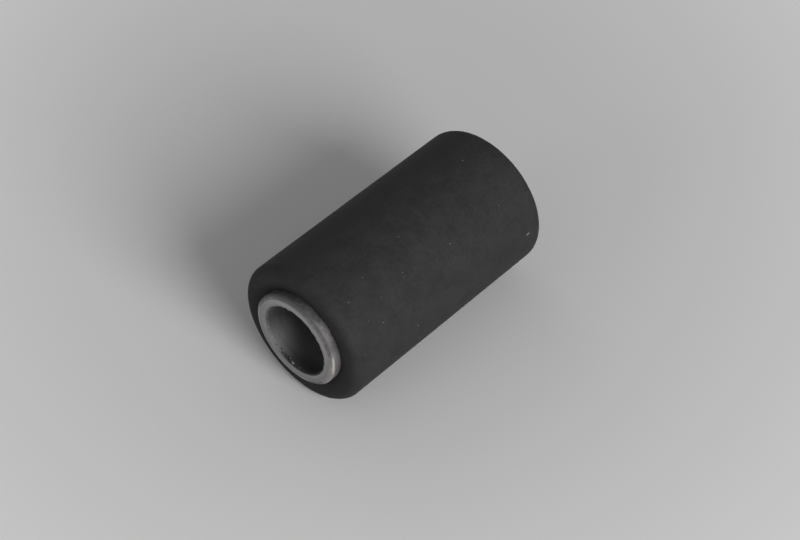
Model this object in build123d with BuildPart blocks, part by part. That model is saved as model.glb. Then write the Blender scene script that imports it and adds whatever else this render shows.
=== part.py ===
from build123d import *
import os

# Rubber metal bush: a steel tube with a thick rubber sleeve moulded and bonded round it.
# A bolt passes through the tube, and the sleeve is pressed into a round eye.
# Sizes are in millimetres and degrees. The bore runs along Z, and the origin is its middle.

# Steel tube
bore_diameter = 15.0        # clearance hole for the bolt
tube_wall = 2.5
tube_length = 56.0
bore_edge_break = 0.2       # small chamfer where the bore meets the end face

# The outer rim of each tube end is worn to two slopes, a shallow one and then a steep one.
rim_width = 0.85            # what both slopes take off the end face, measured along a radius
rim_height = 0.6            # what both slopes take off the side, measured along the tube
rim_corner_share = 0.3      # where the slopes meet, as a share of both sizes, from the side and the face

# Rubber sleeve
rubber_wall = 5.0
tube_projection = 1.5       # how far each tube end stands proud of the sleeve
shoulder_radius = 2.0       # rounding between the sleeve's side and its end face
end_face_slope = 12.0       # how steeply the end face sinks from the shoulder to the tube

# Sizes that follow from the ones above
bore_radius = bore_diameter / 2
tube_radius = bore_radius + tube_wall
tube_half_length = tube_length / 2
rubber_radius = tube_radius + rubber_wall
rubber_half_length = tube_half_length - tube_projection

# The tube: the upper half of its wall's section, from the bore to the side, is mirrored
# to the lower end and turned about the bore's axis.
with BuildPart() as steel_tube:
    with BuildSketch(Plane.XZ):
        with BuildLine() as wall_section:
            Polyline(
                (bore_radius, 0),
                (bore_radius, tube_half_length - bore_edge_break),
                (bore_radius + bore_edge_break, tube_half_length),
                (tube_radius - rim_width, tube_half_length),
                (tube_radius - rim_corner_share * rim_width,
                 tube_half_length - rim_corner_share * rim_height),
                (tube_radius, tube_half_length - rim_height),
                (tube_radius, 0),
            )
            mirror(wall_section.line, about=Plane.XZ)
        make_face()
    revolve(axis=Axis.Z)
steel_tube.part.label = "steel_tube"

# The sleeve: the upper half of its section runs up the side, round the shoulder and down
# the sloping end face to the tube. It is mirrored and turned in the same way.
with BuildPart() as rubber_sleeve:
    with BuildSketch(Plane.XZ):
        with BuildLine() as sleeve_section:
            side = Line((rubber_radius, 0), (rubber_radius, rubber_half_length - shoulder_radius))
            shoulder = JernArc(side @ 1, (0, 1), radius=shoulder_radius, arc_size=90 + end_face_slope)
            end_face = PolarLine(
                shoulder @ 1,
                (shoulder @ 1).X - tube_radius,
                180 + end_face_slope,
                length_mode=LengthMode.HORIZONTAL,
            )
            Line(end_face @ 1, (tube_radius, 0))
            mirror(sleeve_section.line, about=Plane.XZ)
        make_face()
    revolve(axis=Axis.Z)
rubber_sleeve.part.label = "rubber_sleeve"

os.makedirs("parts", exist_ok=True)
export_step(steel_tube.part, "parts/steel_tube.step")
export_step(rubber_sleeve.part, "parts/rubber_sleeve.step")
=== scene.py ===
# %% [markdown]
# # Rubber metal bush
# A steel tube carries a thick rubber sleeve that was moulded and bonded round it. A bolt
# clamps the tube, and the sleeve is pressed into a round eye, so that the rubber takes up
# twist and shock. Both pieces are round, so each is grown ring by ring about the bore's axis.
# The packed model gives the place and the outer size of both pieces, and the bore and the
# small forms are given here. Lengths below are in millimetres where a name says nothing
# else, and MM turns them into Blender's metres.

# %% Load the frame
import math
import random

import bpy
from mathutils import Matrix, Vector


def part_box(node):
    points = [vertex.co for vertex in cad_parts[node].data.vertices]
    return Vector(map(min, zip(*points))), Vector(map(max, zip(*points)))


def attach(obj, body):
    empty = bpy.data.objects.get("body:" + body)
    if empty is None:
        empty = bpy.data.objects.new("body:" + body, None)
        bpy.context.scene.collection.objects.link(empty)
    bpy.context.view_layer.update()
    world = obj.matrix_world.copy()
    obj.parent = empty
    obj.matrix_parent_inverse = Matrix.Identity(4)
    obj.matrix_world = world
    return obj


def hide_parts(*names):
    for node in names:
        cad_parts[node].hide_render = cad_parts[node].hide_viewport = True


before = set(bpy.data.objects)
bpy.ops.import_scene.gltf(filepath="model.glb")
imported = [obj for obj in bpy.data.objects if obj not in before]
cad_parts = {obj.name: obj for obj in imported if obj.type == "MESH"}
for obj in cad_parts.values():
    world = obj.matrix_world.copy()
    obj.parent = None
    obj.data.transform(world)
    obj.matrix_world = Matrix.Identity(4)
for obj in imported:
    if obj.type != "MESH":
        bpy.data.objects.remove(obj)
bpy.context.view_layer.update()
MM = 0.001

tube_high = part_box("steel_tube")[1]
sleeve_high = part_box("rubber_sleeve")[1]
tube_radius = tube_high.x / MM
tube_half = tube_high.z / MM
sleeve_radius = sleeve_high.x / MM
sleeve_half = sleeve_high.z / MM
print("tube", round(tube_radius, 3), "by", round(tube_half, 3), "half length")
print("sleeve", round(sleeve_radius, 3), "by", round(sleeve_half, 3), "half length")

# %% [markdown]
# ## The camera
# The bush stands on its end here, as it does on a shelf, but the picture shows it lying on
# its side. The floor can't tip without tipping the bush, so the floor is a wall that
# touches the side of the sleeve, and the camera is rolled until that wall looks level.
# A camera could be aimed by a Track To constraint, but that leaves its roll to Blender, so
# its three axes are written out: it looks from its place to the aim, and picture_up says
# which way is up in the picture.

# %% Camera
camera_place = Vector((65.127, -321.641, 195.901)) * MM
camera_aim = Vector((-1.717, -0.181, 0.289)) * MM
picture_up = Vector((0.83589, -0.14785, -0.52860))

looks_along = (camera_aim - camera_place).normalized()
picture_right = looks_along.cross(picture_up).normalized()
picture_up = picture_right.cross(looks_along)

camera_data = bpy.data.cameras.new("camera")
camera_data.sensor_width = 36.0
camera_data.lens = 88.71
camera_data.clip_start = 0.01
camera_data.clip_end = 20.0
camera = bpy.data.objects.new("camera", camera_data)
bpy.context.scene.collection.objects.link(camera)
camera.matrix_world = (Matrix.Translation(camera_place)
                       @ Matrix((picture_right, picture_up, -looks_along)).transposed().to_4x4())
bpy.context.scene.camera = camera
print("camera stands", round((camera_aim - camera_place).length / MM), "mm away")

# %% [markdown]
# ## Growing a round piece
# A turned or moulded ring could be spun from its section, or cut from a solid cylinder.
# Growing it keeps every face in neat rows: an open cylinder is the first wall, its two end
# loops are extruded, and the new loops are resized to the next radius and height. One
# resize about the origin moves both ends alike, so the piece stays symmetrical. At last
# a bridge joins the two loops and closes the piece.

# %% Helpers for round pieces
SIDES = 256
FIRST_HALF = 20.0    # half the length of the open cylinder that a piece starts as


def choose(piece):
    """Makes this piece the only selected one."""
    bpy.ops.object.select_all(action="DESELECT")
    piece.select_set(True)
    bpy.context.view_layer.objects.active = piece


def first_wall(name, radius):
    """An open cylinder in edit mode with its end loops selected, and where those loops are."""
    bpy.ops.object.select_all(action="DESELECT")
    bpy.ops.mesh.primitive_cylinder_add(
        vertices=SIDES, radius=radius * MM, depth=2 * FIRST_HALF * MM, end_fill_type="NOTHING")
    piece = bpy.context.object
    piece.name = piece.data.name = name
    bpy.ops.object.mode_set(mode="EDIT")
    bpy.ops.mesh.select_all(action="DESELECT")
    bpy.ops.mesh.select_non_manifold()
    return piece, (radius, FIRST_HALF)


def grow(start, rings):
    """Extrudes both end loops through rings of (radius, height). Start is where they are now."""
    radius, height = start
    for next_radius, next_height in rings:
        share = next_radius / radius
        bpy.ops.mesh.extrude_region_move()
        bpy.ops.transform.resize(value=(share, share, next_height / height))
        radius, height = next_radius, next_height
    return radius, height


def close(cuts):
    """Joins the two end loops by a wall with this many loops along it, and turns all faces out."""
    bpy.ops.mesh.bridge_edge_loops(number_cuts=cuts, interpolation="LINEAR")
    bpy.ops.mesh.select_all(action="SELECT")
    bpy.ops.mesh.normals_make_consistent(inside=False)
    bpy.ops.object.mode_set(mode="OBJECT")


def arc(centre, size, first, last, steps):
    """Rings along an ellipse's arc. Angles are in degrees from outwards towards the end."""
    rings = []
    for step in range(1, steps + 1):
        angle = math.radians(first + (last - first) * step / steps)
        rings.append((centre[0] + size[0] * math.cos(angle), centre[1] + size[1] * math.sin(angle)))
    return rings


print("a face of the sleeve's side is", round(2 * math.pi * sleeve_radius / SIDES, 3), "mm wide")

# %% [markdown]
# ## The steel tube
# The tube is cut from a long one, and each end is faced flat. The bore's edge is broken by
# a small chamfer, and the outer rim is worn round, with a clear line where the wear starts.
# That line shows as a step in brightness, so the rim is an arc that starts at an angle to
# the face, and the face itself stays flat. The wall gets more loops near its ends, where it
# is shaped further and where the light changes quickly.

# %% Tube
bore_radius = 7.5
edge_break = 0.15
rim_start_radius = 9.1     # where the wear starts on the face
rim_height = 0.5           # how far the wear reaches down the side
rim_start_angle = 62.0     # degrees: at 90 the arc would run into the face without a line
bore_loops = (23.0, 25.0, 26.0, 26.6, 27.0, 27.4)    # heights
face_loops = (7.85, 8.3, 8.7)                        # radii
side_loops = (27.0, 26.4, 25.9, 25.0, 22.0)          # heights

rim_turn = math.radians(rim_start_angle)
rim_size = ((tube_radius - rim_start_radius) / (1 - math.cos(rim_turn)), rim_height / math.sin(rim_turn))
rim_centre = (tube_radius - rim_size[0], tube_half - rim_height)
broken_edge = [(bore_radius, tube_half - edge_break),
               (bore_radius + 0.4 * edge_break, tube_half - 0.35 * edge_break),
               (bore_radius + edge_break, tube_half)]

tube, place = first_wall("tube", bore_radius)
place = grow(place, [(bore_radius, height) for height in bore_loops])
place = grow(place, broken_edge)
place = grow(place, [(radius, tube_half) for radius in face_loops + (rim_start_radius,)])
place = grow(place, arc(rim_centre, rim_size, rim_start_angle, 0.0, steps=10))
place = grow(place, [(tube_radius, height) for height in side_loops])
close(cuts=3)
print("tube has", len(tube.data.polygons), "faces")

# %% [markdown]
# ## Nicks in the bore's edge
# Facing the tube leaves a fine burr, which breaks away here and there. So the bore's edge is
# not a clean circle: it wavers by a tenth or two of a millimetre. The points could be moved
# one by one, but a Displace modifier with a cloudy texture does it by itself. Its middle
# level is 1 and its texture is clamped between 0 and 1, so that it only cuts into the metal,
# and a group of points keeps it to the edge. The picture shows the deeper nicks on the near
# side, where the edge is seen against the dark inside, so each half gets its own depth.

# %% Nicks
EDGE_REACH = 0.3    # how far from the bore's end edge a point still counts as on it


def sink(piece, name, chosen, lump, depth, contrast=1.0):
    """Sinks the chosen points of a piece by a cloudy pattern with lumps of this size."""
    group = piece.vertex_groups.new(name=name)
    points = [vertex.index for vertex in piece.data.vertices if chosen(vertex.co / MM)]
    group.add(points, 1.0, "REPLACE")
    clouds = bpy.data.textures.new(name, "CLOUDS")
    clouds.noise_scale = lump * MM
    clouds.noise_depth = 1
    clouds.contrast = contrast
    clouds.use_clamp = True
    choose(piece)
    displace = piece.modifiers.new(name, "DISPLACE")
    displace.texture = clouds
    displace.texture_coords = "LOCAL"
    displace.vertex_group = name
    displace.mid_level = 1.0
    displace.strength = depth * MM
    bpy.ops.object.modifier_apply(modifier=name)
    piece.vertex_groups.remove(piece.vertex_groups[name])
    print(name, "moves", len(points), "points")


def on_bore_edge(at):
    """Whether a point, in millimetres, is on the edge of the bore."""
    return at.xy.length < bore_radius + EDGE_REACH and abs(at.z) > tube_half - EDGE_REACH


sink(tube, "nicks", lambda at: on_bore_edge(at) and at.y < 0, lump=0.8, depth=0.22, contrast=3.0)
sink(tube, "small_nicks", lambda at: on_bore_edge(at) and at.y >= 0, lump=0.8, depth=0.1)

# %% [markdown]
# ## The rubber sleeve
# The sleeve's side is straight. A shoulder turns it into the end face, which sinks in a
# shallow dish towards the tube because rubber shrinks as it cools in the mould. Where it
# meets the steel, the rubber ends in a small rounded lip, and that leaves a fine dark
# groove. The side gets many loops, so that it can take a slight unevenness.

# %% Sleeve
shoulder_radius = 1.85
groove_width = 0.3
groove_depth = 1.2 * groove_width
groove_floor = 24.6
dish_depth = 0.6
end_face_rings = 12

shoulder_centre = (sleeve_radius - shoulder_radius, sleeve_half - shoulder_radius)
lip_radius = tube_radius + groove_width


def end_height(radius):
    """How high the dished end face is at this radius."""
    share = (shoulder_centre[0] - radius) / (shoulder_centre[0] - lip_radius)
    return sleeve_half - dish_depth * share ** 2


sleeve, place = first_wall("sleeve", tube_radius)
place = grow(place, [(tube_radius, groove_floor)])
lip_centre = (lip_radius, end_height(lip_radius) - groove_depth)
place = grow(place, arc(lip_centre, (-groove_width, groove_depth), 0.0, 90.0, steps=6))
for ring in range(1, end_face_rings + 1):
    radius = lip_radius + (shoulder_centre[0] - lip_radius) * ring / end_face_rings
    place = grow(place, [(radius, end_height(radius))])
place = grow(place, arc(shoulder_centre, (shoulder_radius, shoulder_radius), 90.0, 0.0, steps=16))
close(cuts=72)
print("sleeve has", len(sleeve.data.polygons), "faces")

# %% [markdown]
# ## The moulded skin
# Moulded rubber is never quite true. Its skin wanders by a few hundredths of a millimetre,
# which only shows as slow changes in the shine. The same helper sinks the whole outside.

# %% Skin
sink(sleeve, "skin", lambda at: at.xy.length > lip_radius, lump=7.0, depth=0.06)

# %% [markdown]
# ## Standing for the packed nodes
# Each piece takes the place of its plain node and rides on the one body. Smoothing by angle keeps the line
# where the rim's wear starts sharp.

# %% Both pieces
sharpest_smooth = 15.0    # degrees: faces that meet at less than this are shaded as one surface
for piece, node, slot_name in ((tube, "steel_tube", "steel"), (sleeve, "rubber_sleeve", "rubber")):
    choose(piece)
    bpy.ops.object.shade_smooth_by_angle(angle=math.radians(sharpest_smooth))
    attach(piece, "root")
    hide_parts(node)
    print(piece.name, "stands for", node)

# %% [markdown]
# ## Dust on the rubber
# Black rubber picks up pale dust: grains of one to three tenths of a millimetre, and lint.
# A pattern in the finish would repeat and has no thickness, so a grain and a shred are
# modelled once each and copied. A grain is a ball with its points pushed about and then
# pressed flat. The shred is a six-sided thread, extruded in short steps that bend, and it
# starts half its length back, so that its middle is the point by which it is laid.

# %% A grain and a shred
shred_steps = ((0.14, 0.02, 1.4), (0.16, 0.05, 1.1), (0.16, 0.01, 0.9),
               (0.14, -0.05, 0.9), (0.12, -0.07, 0.5))    # forward, sideways, share of the width

bpy.ops.object.select_all(action="DESELECT")
bpy.ops.mesh.primitive_ico_sphere_add(subdivisions=2, radius=0.5 * MM)
grain = bpy.context.object
grain.name = grain.data.name = "grain"
bpy.ops.object.mode_set(mode="EDIT")
bpy.ops.mesh.select_all(action="SELECT")
bpy.ops.transform.vertex_random(offset=0.16 * MM, uniform=0.0, normal=0.6, seed=4)
bpy.ops.transform.resize(value=(1.0, 0.75, 0.3))
bpy.ops.object.mode_set(mode="OBJECT")

bpy.ops.object.select_all(action="DESELECT")
bpy.ops.mesh.primitive_circle_add(
    vertices=6, radius=0.07 * MM, fill_type="NGON",
    rotation=(0, math.pi / 2, 0), location=(-0.36 * MM, 0, 0))
shred = bpy.context.object
shred.name = shred.data.name = "shred"
bpy.ops.object.mode_set(mode="EDIT")
bpy.ops.mesh.select_all(action="SELECT")
for forward, sideways, share in shred_steps:
    bpy.ops.mesh.extrude_region_move(TRANSFORM_OT_translate={"value": (forward * MM, sideways * MM, 0)})
    bpy.ops.transform.resize(value=(share, share, share))
bpy.ops.mesh.select_all(action="SELECT")
bpy.ops.mesh.normals_make_consistent(inside=False)
bpy.ops.object.mode_set(mode="OBJECT")
bpy.ops.object.transform_apply(location=True, rotation=True, scale=True)
print("a grain has", len(grain.data.polygons), "faces and the shred has", len(shred.data.polygons))

# %% [markdown]
# ## Laying the dust
# A particle system could scatter the grains, but each one that the picture shows has its own
# place. So a copy is laid on the side at an angle round the bore and a height along it, or
# on an end face at an angle and a radius, and at last all copies are joined into one piece.

# %% Helper for copies


def lay(pattern, surface, size, turn, thickness=1.0):
    """A copy of the pattern with its own mesh, on a surface's place, at this size and turn."""
    copy = pattern.copy()
    copy.data = pattern.data.copy()
    bpy.context.scene.collection.objects.link(copy)
    copy.matrix_world = (surface @ Matrix.Rotation(math.radians(turn), 4, "Z")
                         @ Matrix.Diagonal((size, size, size * thickness, 1.0)))
    return copy


def on_side(angle, height, radius):
    """The place on a round side, with its Z pointing outwards."""
    return (Matrix.Rotation(math.radians(angle), 4, "Z")
            @ Matrix.Translation((radius * MM, 0, height * MM)) @ Matrix.Rotation(math.pi / 2, 4, "Y"))


def on_end(angle, radius, height):
    """The place on an upper end face, with its Z along the bore."""
    return Matrix.Rotation(math.radians(angle), 4, "Z") @ Matrix.Translation((radius * MM, 0, height * MM))


def gather(name, copies):
    """Joins the copies into one piece with its place in its mesh."""
    bpy.ops.object.select_all(action="DESELECT")
    for copy in copies:
        copy.select_set(True)
    bpy.context.view_layer.objects.active = copies[0]
    bpy.ops.object.join()
    piece = bpy.context.object
    bpy.ops.object.transform_apply(location=True, rotation=True, scale=True)
    piece.name = piece.data.name = name
    print(name, "has", len(copies), "copies and", len(piece.data.polygons), "faces")
    return piece


side_start = on_side(0, 0, sleeve_radius).translation / MM
print("0 degrees on the side is at", [round(part, 2) for part in side_start])

# %% [markdown]
# ## The dust itself
# The picture shows the grains that face the camera. The rest of the sleeve would have as
# many, so those are strewn by random numbers with a fixed seed. The skin is uneven, so
# each grain is brought to the nearest point of the sleeve's own mesh. Otherwise a thin
# grain would sink out of sight or float.

# %% Dust
seen_grains = [    # angle, height, width
    (-131.7, 10.0, 0.23), (-48.2, -18.1, 0.28), (-92.3, -3.2, 0.18), (-108.0, 17.8, 0.16),
    (-65.3, 4.9, 0.16), (-72.8, 16.6, 0.17), (-92.1, -17.2, 0.15), (-80.6, 22.1, 0.13),
    (-87.3, 9.1, 0.15), (-25.6, -21.8, 0.14), (-38.0, -24.3, 0.12), (-103.1, -2.8, 0.10),
    (-25.4, -15.1, 0.12), (-120.1, 23.9, 0.12), (-92.2, 15.8, 0.12), (-144.7, -23.1, 0.12),
    (-149.0, -9.9, 0.12), (-61.6, 12.9, 0.10), (-147.8, 9.3, 0.12), (-99.5, 20.6, 0.10)]
end_grains = [(-52.0, 13.5), (7.5, 13.3)]    # angle, radius
strewn_grains = 30
hidden_angles = (0.0, 205.0)
strewn_heights = (-23.5, 23.5)
dust_draw = random.Random(11)


def grain_on_skin(surface, size):
    """A thin grain on the sleeve's skin, at the point of it that is nearest to this place."""
    surface.translation = sleeve.closest_point_on_mesh(surface.translation)[1]
    return lay(grain, surface, size, dust_draw.uniform(0, 360), thickness=0.4)


copies = [lay(shred, on_side(-128.9, -21.9, sleeve_radius - 0.05), size=1.2, turn=9)]
for angle, height, size in seen_grains:
    copies.append(grain_on_skin(on_side(angle, height, sleeve_radius), size))
for angle, radius in end_grains:
    copies.append(grain_on_skin(on_end(angle, radius, end_height(radius)), size=0.16))
for number in range(strewn_grains):
    angle = dust_draw.uniform(*hidden_angles)
    height = dust_draw.uniform(*strewn_heights)
    copies.append(grain_on_skin(on_side(angle, height, sleeve_radius), dust_draw.uniform(0.10, 0.22)))
dust = gather("dust", copies)
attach(dust, "root")

# %% [markdown]
# ## Burrs and painted shade at the bore
# Tiny crumbs of steel still hang in the mouth of the bore, and nearly black specks sit in it where small
# nicks of its edge are in shade, painting that shade, most of both low on the side away from the camera.
# The same grain stands for each, at other sizes. Burrs are bright and the specks are dark, so they are two
# pieces with a finish each.

# %% Burrs and dark specks
stands_in = 0.03    # how far a crumb's middle stands in from the bore's wall


def crumbs_at(name, spots, strewn):
    """One piece of crumbs: at (angle, depth, size) in the upper mouth, and strewn in the lower."""
    copies = []
    for angle, depth, size in spots:
        wall = on_side(angle, tube_half - depth, bore_radius - stands_in)
        copies.append(lay(grain, wall, size, dust_draw.uniform(0, 360)))
    for number in range(strewn):
        wall = on_side(dust_draw.uniform(0, 360), dust_draw.uniform(0.3, 0.8) - tube_half, bore_radius)
        copies.append(lay(grain, wall, dust_draw.uniform(0.15, 0.3), dust_draw.uniform(0, 360)))
    piece = gather(name, copies)
    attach(piece, "root")
    return piece


seen_burrs = [
    (126.6, 0.4, 0.52), (124.0, 0.6, 0.3), (22.0, 0.8, 0.32), (60.0, 0.35, 0.14),
    (76.0, 0.4, 0.15), (140.0, 0.4, 0.26), (118.0, 0.8, 0.22), (-100.0, 0.3, 0.2)]
# painted shade: nearly black specks where small nicks in the bore's edge are dark
seen_grit = [
    (104.6, 0.35, 0.55), (108.0, 0.6, 0.45), (111.6, 0.45, 0.7), (115.5, 0.7, 0.6),
    (119.0, 0.4, 0.55), (122.2, 0.4, 0.6), (117.0, 0.3, 0.5), (134.8, 0.35, 0.5),
    (43.0, 0.35, 0.34), (90.0, 0.3, 0.3), (12.0, 0.4, 0.34), (99.0, 0.7, 0.4)]
burrs = crumbs_at("burrs", seen_burrs, strewn=4)
grit = crumbs_at("grit", seen_grit, strewn=6)
for pattern in (grain, shred):    # only their copies are part of the bush
    bpy.data.objects.remove(pattern)

# %% [markdown]
# ## Shader maths
# A finish is easier to read as sums than as a picture of nodes. Signal wraps one output
# socket, and + - * / between signals and numbers adds the Math nodes. Finish holds
# one tree of nodes, and its node method makes any node: settings first, then inputs.

# %% Signal and Finish


class Signal:
    """One output socket, with the sums that a finish needs."""

    def __init__(self, finish, socket):
        self.finish, self.socket = finish, socket

    def output(self, name):
        """Another output of the same node."""
        return Signal(self.finish, self.socket.node.outputs[name])

    def maths(self, operation, *values):
        """What a Math node makes of these signals and numbers."""
        return self.finish.node("ShaderNodeMath", {"operation": operation}, dict(enumerate(values)))

    def __add__(self, other):
        return self.maths("ADD", self, other)

    def __sub__(self, other):
        return self.maths("SUBTRACT", self, other)

    def __rsub__(self, other):
        return self.maths("SUBTRACT", other, self)

    def __mul__(self, other):
        return self.maths("MULTIPLY", self, other)

    def __truediv__(self, other):
        return self.maths("DIVIDE", self, other)

    def __pow__(self, other):
        return self.maths("POWER", self, other)

    def __abs__(self):
        return self.maths("ABSOLUTE", self)

    __radd__ = __add__
    __rmul__ = __mul__


class Finish:
    """A tree of nodes for a material or for the world."""

    def __init__(self, owner):
        owner.use_nodes = True
        self.owner, self.tree = owner, owner.node_tree
        self.tree.nodes.clear()

    def find(self, sockets, key):
        """The socket in use with this name or number, as a node has some for other settings."""
        usable = [socket for socket in sockets if socket.enabled]
        if isinstance(key, int):
            return usable[key]
        return next(socket for socket in usable if socket.name == key)

    def node(self, kind, settings=None, inputs=None, output=0):
        """A new node's output. Signals are linked to its inputs and numbers are set on them."""
        node = self.tree.nodes.new(kind)
        for name, value in (settings or {}).items():
            setattr(node, name, value)
        for key, value in (inputs or {}).items():
            socket = self.find(node.inputs, key)
            if isinstance(value, Signal):
                self.tree.links.new(value.socket, socket)
            else:
                socket.default_value = value
        output_socket = self.find(node.outputs, output) if len(node.outputs) else None
        return Signal(self, output_socket)

    def mix(self, factor, first, second):
        """A colour between two others."""
        return self.node("ShaderNodeMix", {"data_type": "RGBA"},
                         {"Factor": factor, "A": first, "B": second})

    def step(self, value, low, high):
        """A smooth change from 0 at low to 1 at high."""
        return self.node("ShaderNodeMapRange", {"interpolation_type": "SMOOTHSTEP"},
                         {"Value": value, "From Min": low, "From Max": high})

    def noise(self, place, scale, detail=2.0, roughness=0.5):
        """Cloudy noise from 0 to 1, with this many lumps in a metre."""
        return self.node("ShaderNodeTexNoise", {},
                         {"Vector": place, "Scale": scale, "Detail": detail, "Roughness": roughness})

    def bump(self, height, depth):
        """A normal that makes a height from 0 to 1 look like relief this many millimetres deep."""
        return self.node("ShaderNodeBump",
                         inputs={"Strength": 1.0, "Distance": depth * MM, "Height": height})


def new_material(name, piece):
    """A finish on a new material, which the piece then wears."""
    material = bpy.data.materials.new(name)
    piece.data.materials.clear()
    piece.data.materials.append(material)
    return Finish(material)


print("Finish can", ", ".join(name for name in vars(Finish) if not name.startswith("_")))

# %% [markdown]
# ## The steel's finish
# The tube wears four finishes that differ by place: a dull faced ring, a rim that tumbling
# has darkened, a grey skin of scale on the side, and a satin bore. They could be four
# materials, but then their borders would be hard, so one material mixes them by masks. A
# mask is 1 in its place and 0 elsewhere, worked out from a point's own radius and height,
# and facing() makes one that lies towards an angle round the bore.

# %% Places on the tube
steel = new_material("dull_steel", tube)
place = steel.node("ShaderNodeTexCoord", output="Object")
across = steel.node("ShaderNodeSeparateXYZ", inputs={0: place}, output="X")
x_mm, y_mm, z_mm = across / MM, across.output("Y") / MM, across.output("Z") / MM
radius_mm = (x_mm * x_mm + y_mm * y_mm) ** 0.5
height_mm = abs(z_mm)

wander = steel.noise(place, 900.0, detail=3.0, roughness=0.6)
on_face = steel.step(height_mm, tube_half - 0.03, tube_half - 0.005)
in_bore = 1 - steel.step(radius_mm, bore_radius + 0.08, bore_radius + 0.28)
on_rim = steel.step(height_mm + wander * 0.3, tube_half - 0.65, tube_half - 0.35) * (1 - on_face)


def facing(angle, low, high):
    """A soft patch from 0 to 1 round this angle, with its edges at these distances along it."""
    angle = math.radians(angle)
    return steel.step(x_mm * math.cos(angle) + y_mm * math.sin(angle) + wander * 0.6, low, high)


print("the tube's places take", len(steel.tree.nodes), "nodes")

# %% [markdown]
# ## Marks, painted light and painted shade on the tube
# The picture shows marks that lie on one side only, and some of them are light and shade painted into the
# steel's colour. The skin of scale is painted lighter where light falls on it, and painted darker in shade
# on another side. The rim is pale where it is worn, painted lighter at its far side, and painted darker in
# shade between them. The bore is painted darker in shade at its mouth and painted lighter on its lit side
# further in, with grime in its edge. The face has a paler ring that is a painted highlight. Where the rim
# has been rubbed bright, fine scratches run round it, and its near-white colour there also paints a
# highlight. An image could hold them all, but masks stay sharp when seen from close by.

# %% Marks, painted light and painted shade on the tube
near_end = steel.step(z_mm, 0.0, 1.0)    # the upper half, whose end the picture shows
corner = (steel.step(height_mm, tube_half - 0.80, tube_half - 0.50)
          * (1 - steel.step(height_mm, tube_half - 0.26, tube_half - 0.08)))
worn = facing(-150.0, 7.8, 10.0)
# painted light: the rim's far side is made paler than its light leaves it
painted_light_far_rim = facing(90.0, 3.0, 6.0)
# painted shade: the rim is made darker on the side away from the light
painted_shade_rim = facing(-38.0, 8.2, 9.6)
# painted light: the near end's skin is made paler on the side that faces the light
painted_light_side = facing(-142.0, 8.6, 10.2) * near_end
# painted shade: the skin is made darker on the side away from the light
painted_shade_side = facing(-5.0, 7.5, 10.3)
deep = 1 - steel.step(height_mm, tube_half - 7.0, tube_half - 1.5)
# painted shade: the bore's mouth is made darker on the side away from the light
painted_shade_mouth = facing(175.0, 2.0, 7.0) * (1 - deep)
# painted light: deeper in the bore, its lit side is made paler
painted_light_deep = facing(125.0, 2.0, 6.5) * deep
grimy = ((1 - steel.step(radius_mm, bore_radius + 0.25, bore_radius + 0.42)) * facing(155.0, 2.5, 7.0)
         * steel.step(height_mm, tube_half - 0.40, tube_half - 0.15))
# painted highlight: a paler ring on the face, towards one side
ring_highlight = steel.step(radius_mm, 8.0, 8.4) * (1 - steel.step(radius_mm, 8.75, 9.0)) * facing(-65.0, 2.0, 7.0)

scratch_angle = math.radians(137.0)    # the way the scratches run, which is round the rim there
across_scratches = x_mm * math.sin(scratch_angle) - y_mm * math.cos(scratch_angle)
streaks = steel.node("ShaderNodeCombineXYZ", inputs={"X": across_scratches, "Y": z_mm * 0.15})
scratches = steel.noise(streaks, 2.6)
# steel rubbed bright, with a painted highlight: near-white and warm where the highlight is
burnish_and_highlight = facing(-136.0, 9.90, 10.27) * near_end * corner * (0.60 + 0.7 * steel.step(scratches, 0.40, 0.58))
print("with its marks they take", len(steel.tree.nodes), "nodes")

# %% [markdown]
# ## Mixing the steel
# Most places have a darker and a paler tone, and a noise chooses between them: fine rings
# from the turning tool on the face and in the bore, flecks and stains elsewhere. The mixing
# goes from the side over the rim to the face and the bore, and the smallest marks come
# last, so that they lie over the others. Roughness follows the same masks, and a Specular
# Tint under 1 keeps the metal from brightening too much where it is seen edge on.

# %% Steel finish
rings = steel.node("ShaderNodeCombineXYZ", inputs={"X": radius_mm, "Y": x_mm * 0.05, "Z": z_mm})
turning = steel.step(steel.noise(rings, 2.4, detail=4.0, roughness=0.7), 0.34, 0.66)
flecks = steel.noise(place, 1500.0, detail=4.0, roughness=0.7)
stain = steel.noise(place, 350.0, detail=4.0, roughness=0.65)
crumbs = steel.noise(place, 3500.0, detail=2.0)

skin_tone = steel.mix(steel.step(stain * 0.5 + flecks * 0.5, 0.36, 0.64),
                      (0.125, 0.120, 0.118, 1), (0.245, 0.238, 0.235, 1))
# painted shade and painted light on the skin of scale
skin_tone = steel.mix(painted_shade_side * 0.45, skin_tone, (0.11, 0.107, 0.106, 1))
skin_tone = steel.mix(painted_light_side, skin_tone, (0.36, 0.345, 0.335, 1))
rim_tone = steel.mix(steel.step(wander * 0.4 + flecks * 0.6, 0.36, 0.64),
                     (0.17, 0.167, 0.166, 1), (0.31, 0.304, 0.302, 1))
rim_tone = steel.mix(worn, rim_tone, (0.41, 0.40, 0.395, 1))
# painted light on the rim's far side
rim_tone = steel.mix(painted_light_far_rim, rim_tone, (0.44, 0.435, 0.43, 1))
# painted shade on the rim
rim_tone = steel.mix(painted_shade_rim * 0.7, rim_tone, (0.17, 0.167, 0.166, 1))
corner_tone = steel.mix(worn, (0.145, 0.142, 0.141, 1), (0.40, 0.39, 0.38, 1))
# painted light on the far side of the rim's corner
corner_tone = steel.mix(painted_light_far_rim, corner_tone, (0.40, 0.395, 0.39, 1))
face_tone = steel.mix(turning * 0.5 + wander * 0.5, (0.24, 0.237, 0.239, 1), (0.44, 0.435, 0.438, 1))
# painted highlight on a ring of the face
face_tone = steel.mix(ring_highlight * 0.6, face_tone, (0.50, 0.495, 0.50, 1))
bore_tone = steel.mix(turning * 0.4 + stain * 0.6, (0.14, 0.138, 0.138, 1), (0.28, 0.276, 0.275, 1))
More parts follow.
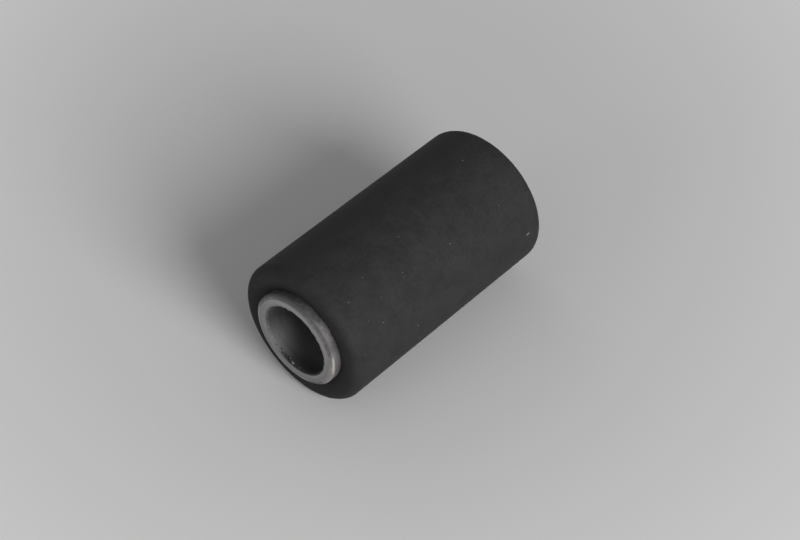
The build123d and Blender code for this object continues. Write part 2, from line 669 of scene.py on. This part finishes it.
# painted shade in the bore's mouth
bore_tone = steel.mix(painted_shade_mouth, bore_tone, (0.10, 0.098, 0.098, 1))
# painted light deeper in the bore
bore_tone = steel.mix(painted_light_deep, bore_tone, (0.33, 0.327, 0.325, 1))
steel_tone = steel.mix(on_rim, skin_tone, rim_tone)
steel_tone = steel.mix(corner * 0.85, steel_tone, corner_tone)
steel_tone = steel.mix(on_face, steel_tone, face_tone)
steel_tone = steel.mix(in_bore, steel_tone, bore_tone)
steel_tone = steel.mix(grimy * 0.8, steel_tone, (0.08, 0.078, 0.078, 1))
# burnished steel and painted highlight
steel_tone = steel.mix(burnish_and_highlight, steel_tone, (0.97, 0.93, 0.89, 1))
steel_roughness = 0.60 - 0.18 * on_face + 0.02 * in_bore + 0.12 * corner - 0.35 * burnish_and_highlight
steel_roughness = steel_roughness + 0.14 * (crumbs - 0.5)
steel_bump = steel.bump(turning * 0.6 + crumbs * 0.4, 0.006)
steel_shader = steel.node("ShaderNodeBsdfPrincipled", inputs={
    "Base Color": steel_tone, "Metallic": 1.0, "Roughness": steel_roughness, "Normal": steel_bump,
    "Specular Tint": (0.8, 0.8, 0.8, 1)})
steel.node("ShaderNodeOutputMaterial", inputs={"Surface": steel_shader})
print(steel.owner.name, "has", len(steel.tree.nodes), "nodes")

# %% [markdown]
# ## The burrs' finish and the dark specks' finish
# A crumb of steel is bright where it broke. The specks that paint shade are nearly black. Each gets a
# noise as fine as the crumbs, so that no two look alike.

# %% Burr finish and dark specks finish
# the dark specks' finish is nearly black, as they paint shade
for piece, name, low, high, metallic in (
        (burrs, "bright_burr", (0.45, 0.44, 0.43, 1), (0.95, 0.94, 0.92, 1), 1.0),
        (grit, "black_grit", (0.006, 0.006, 0.006, 1), (0.03, 0.028, 0.027, 1), 0.0)):
    crumb = new_material(name, piece)
    place = crumb.node("ShaderNodeTexCoord", output="Object")
    fleck = crumb.step(crumb.noise(place, 2500.0, detail=2.0), 0.40, 0.60)
    crumb_shader = crumb.node("ShaderNodeBsdfPrincipled", inputs={
        "Base Color": crumb.mix(fleck, low, high), "Metallic": metallic, "Roughness": 0.65 - 0.2 * fleck})
    crumb.node("ShaderNodeOutputMaterial", inputs={"Surface": crumb_shader})
    print(name, "has", len(crumb.tree.nodes), "nodes")

# %% [markdown]
# ## The rubber's finish
# The rubber is a charcoal black with a matte skin. Wax and chalk have bloomed on it in
# faint clouds, a few millimetres across with finer ones inside them, and its grain is about
# as fine as paper's. A photograph of rubber could show all that, but noise at three scales
# does it with no picture: the clouds change tone and shine, and the grain is relief.

# %% Rubber finish
rubber = new_material("charcoal_rubber", sleeve)
place = rubber.node("ShaderNodeTexCoord", output="Object")
bloom = rubber.noise(place, 260.0, detail=3.0, roughness=0.55)
mottle = rubber.noise(place, 1300.0, detail=3.0, roughness=0.6)
grain_height = rubber.noise(place, 4200.0, detail=3.0, roughness=0.65)

chalk = rubber.step(bloom * 0.5 + mottle * 0.5, 0.32, 0.68)
rubber_tone = rubber.mix(chalk, (0.0200, 0.0189, 0.0194, 1), (0.0312, 0.0295, 0.0303, 1))
rubber_shader = rubber.node("ShaderNodeBsdfPrincipled", inputs={
    "Base Color": rubber_tone, "Roughness": 0.64 + 0.14 * chalk, "Specular IOR Level": 0.15,
    "Normal": rubber.bump(grain_height * 0.7 + mottle * 0.3, 0.03)})
rubber.node("ShaderNodeOutputMaterial", inputs={"Surface": rubber_shader})
print(rubber.owner.name, "has", len(rubber.tree.nodes), "nodes")

# %% [markdown]
# ## The dust's finish
# Dust is pale and quite dull. One noise makes some grains whiter than others.

# %% Dust finish
powder = new_material("pale_dust", dust)
place = powder.node("ShaderNodeTexCoord", output="Object")
whiter = powder.step(powder.noise(place, 600.0, detail=1.0), 0.35, 0.65)
powder_tone = powder.mix(whiter, (0.20, 0.195, 0.19, 1), (0.36, 0.35, 0.34, 1))
powder_shader = powder.node("ShaderNodeBsdfPrincipled", inputs={
    "Base Color": powder_tone, "Roughness": 0.95 - 0.1 * whiter, "Specular IOR Level": 0.2})
powder.node("ShaderNodeOutputMaterial", inputs={"Surface": powder_shader})
print(powder.owner.name, "has", len(powder.tree.nodes), "nodes")

# %% [markdown]
# ## The floor
# The bush lies on a plain pale sheet, which here is the upright wall that touches the sleeve's side. A
# plane is turned to face the bush, and its turn is applied to its mesh, so that its finish can measure
# along the same axes as everything else.

# %% Floor
floor_normal = Vector((1.0, -1.0, 0.0)).normalized()
floor_right = (picture_right - floor_normal * picture_right.dot(floor_normal)).normalized()
floor_away = floor_normal.cross(floor_right)
bpy.ops.object.select_all(action="DESELECT")
bpy.ops.mesh.primitive_plane_add(
    size=6.0, location=-floor_normal * sleeve_radius * MM,
    rotation=floor_normal.to_track_quat("Z", "Y").to_euler())
floor = bpy.context.object
floor.name = floor.data.name = "floor"
bpy.ops.object.transform_apply(location=True, rotation=True, scale=True)
print("floor faces", [round(part, 3) for part in floor_normal])

# %% [markdown]
# ## The floor's finish
# The sheet is painted a little paler towards its edges, as a painted fall of light. Two measures along the
# floor, squared and added up, make that shallow bowl of painted brightness, and a share of each taken off
# shifts its middle. From behind, the wall would hide the bush, so its back is clear: a Mix Shader driven
# by Geometry's Backfacing shows the sheet only from the front.

# %% Floor finish
FLOOR_UNIT = 0.1    # metres: the measures along the floor count in these
paper = new_material("pale_floor", floor)
place = paper.node("ShaderNodeTexCoord", output="Object")


def measure(direction):
    """How far a point of the floor lies in this direction, in floor units."""
    return paper.node("ShaderNodeVectorMath", {"operation": "DOT_PRODUCT"}, {0: place, 1: direction},
                      output="Value") / FLOOR_UNIT


along = measure(floor_right)
away = measure(floor_away)
# painted light: the floor is made paler towards its edges
painted_light_bowl = along * (0.268 * along - 0.05) + away * (0.174 * away - 0.087)
painted_brightening = paper.node("ShaderNodeMapRange", inputs={"Value": painted_light_bowl, "From Min": -0.02, "From Max": 0.38})
pale = paper.mix(painted_brightening, (0.590, 0.586, 0.588, 1), (0.830, 0.824, 0.828, 1))
front = paper.node("ShaderNodeBsdfPrincipled",
                   inputs={"Base Color": pale, "Roughness": 0.9, "Specular IOR Level": 0.0})
clear = paper.node("ShaderNodeBsdfTransparent")
backfacing = paper.node("ShaderNodeNewGeometry", output="Backfacing")
paper_shader = paper.node("ShaderNodeMixShader", inputs={0: backfacing, 1: front, 2: clear})
paper.node("ShaderNodeOutputMaterial", inputs={"Surface": paper_shader})
print(paper.owner.name, "has", len(paper.tree.nodes), "nodes")

# %% [markdown]
# ## The room
# A plain grey room gives the soft light that comes from everywhere. Camera, mirror and glass
# rays get a backdrop instead, so that the steel mirrors the same background as the picture
# shows. The backdrop is darker above the bush, where the tube's end ring mirrors it.

# %% Room
world = bpy.data.worlds.new("studio")
bpy.context.scene.world = world
room = Finish(world)
ray = room.node("ShaderNodeLightPath", output="Is Camera Ray")
mirrored = ray.maths("MAXIMUM", ray.output("Is Glossy Ray"), ray.output("Is Transmission Ray"))
direct = ray.maths("MAXIMUM", ray, mirrored)
towards = room.node("ShaderNodeTexCoord", output="Generated")
upwards = room.node("ShaderNodeSeparateXYZ", inputs={0: towards}, output="Z")
ceiling = room.step(upwards, 0.35, 0.85)
wall_tone = room.mix(ceiling, (0.42, 0.42, 0.42, 1), (0.16, 0.16, 0.16, 1))
soft_light = room.node("ShaderNodeBackground", inputs={"Color": (0.28, 0.28, 0.28, 1), "Strength": 1.0})
backdrop = room.node("ShaderNodeBackground", inputs={"Color": wall_tone, "Strength": 1.0})
sky = room.node("ShaderNodeMixShader", inputs={0: direct, 1: soft_light, 2: backdrop})
room.node("ShaderNodeOutputWorld", inputs={"Surface": sky})
print("room has", len(room.tree.nodes), "nodes")

# %% [markdown]
# ## The lamps
# One broad soft box stands low in front and to the right, and it throws the soft shadow that
# runs up to the left. Weaker lamps fill the left and the back. Each is placed by its turn
# in the floor, from the picture's right towards its far side, and its height in degrees
# above the floor. They are round area lamps, as a soft box has the same soft edge.

# %% Lamps
LAMP_DISTANCE = 1.2    # metres


def lamp(name, turn, height, size, watts):
    """A round soft lamp, aimed at the bush from LAMP_DISTANCE."""
    turn, height = math.radians(turn), math.radians(height)
    direction = (math.cos(height) * (math.cos(turn) * floor_right + math.sin(turn) * floor_away)
                 + math.sin(height) * floor_normal)
    data = bpy.data.lights.new(name, "AREA")
    data.shape = "DISK"
    data.size = size
    data.energy = watts
    light = bpy.data.objects.new(name, data)
    bpy.context.scene.collection.objects.link(light)
    light.location = direction * LAMP_DISTANCE
    light.rotation_euler = direction.to_track_quat("Z", "Y").to_euler()
    light.visible_camera = False
    print(name, "gives", watts, "W from", [round(part, 2) for part in light.location])
    return light


lamp("key_lamp", 306.0, 25.0, 0.65, 14.0)
lamp("left_fill", 218.0, 22.0, 0.5, 0.9)
lamp("back_fill", 120.0, 38.0, 0.6, 0.6)

# %% [markdown]
# ## Light for the back
# The wall that stands for the floor keeps the back of the bush in the dark, though someone
# who picks the bush up would see that side as well. So one more lamp stands behind the wall.
# Light linking lets its light through: the wall is left out of what blocks that lamp.

# %% Rear lamp
rear_lamp = lamp("rear_lamp", 94.0, -49.0, 0.2, 12.0)
not_blocking = bpy.data.collections.new("not_blocking")
not_blocking.objects.link(floor)
not_blocking.collection_objects[0].light_linking.link_state = "EXCLUDE"
rear_lamp.light_linking.blocker_collection = not_blocking
print("the floor doesn't block", rear_lamp.name)

# %% [markdown]
# ## Colours as written
# The Standard view shows a colour as it was written, while the default one bends it.

# %% View
bpy.context.scene.view_settings.view_transform = "Standard"
print("the view is", bpy.context.scene.view_settings.view_transform)

# %% [markdown]
# ## The end
